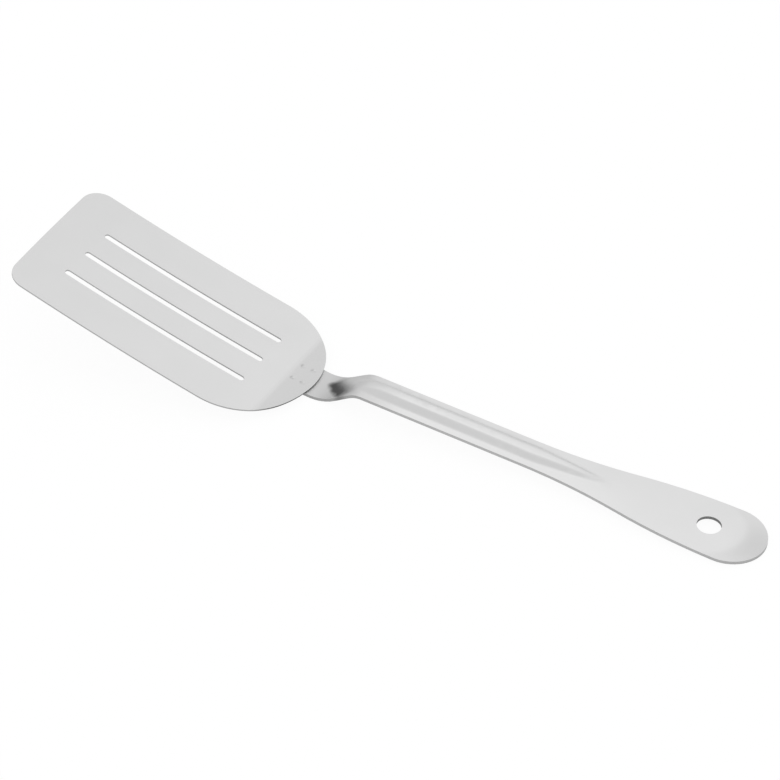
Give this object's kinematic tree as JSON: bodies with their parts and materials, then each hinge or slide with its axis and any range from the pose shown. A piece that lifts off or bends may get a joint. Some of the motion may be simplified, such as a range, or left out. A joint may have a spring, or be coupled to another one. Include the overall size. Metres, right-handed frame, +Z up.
{
  "type": "fish spatula",
  "caption": "Slotted fish spatula: a wide thin steel blade spot welded to a pressed steel handle with an offset bend, a stiffening rib and a hanging hole in the grip.",
  "frame": {"origin": "on the table that the spatula rests on, under the middle of its overall length and of the blade's width", "axes": "+X runs from the blade's front edge to the end of the grip, +Z is up with the spatula at rest on its lower bend and its grip's tip, +Y is to the left seen from the grip"},
  "size_m": [0.3607, 0.0762, 0.0394],
  "materials": {
    "blade_steel": "fine satin",
    "handle_steel": "polished satin",
    "weld_steel": "as welded"
  },
  "bodies": {
    "root": {"blade": "blade_steel", "handle": "handle_steel", "spot_welds": "weld_steel"}
  },
  "joints": []
}
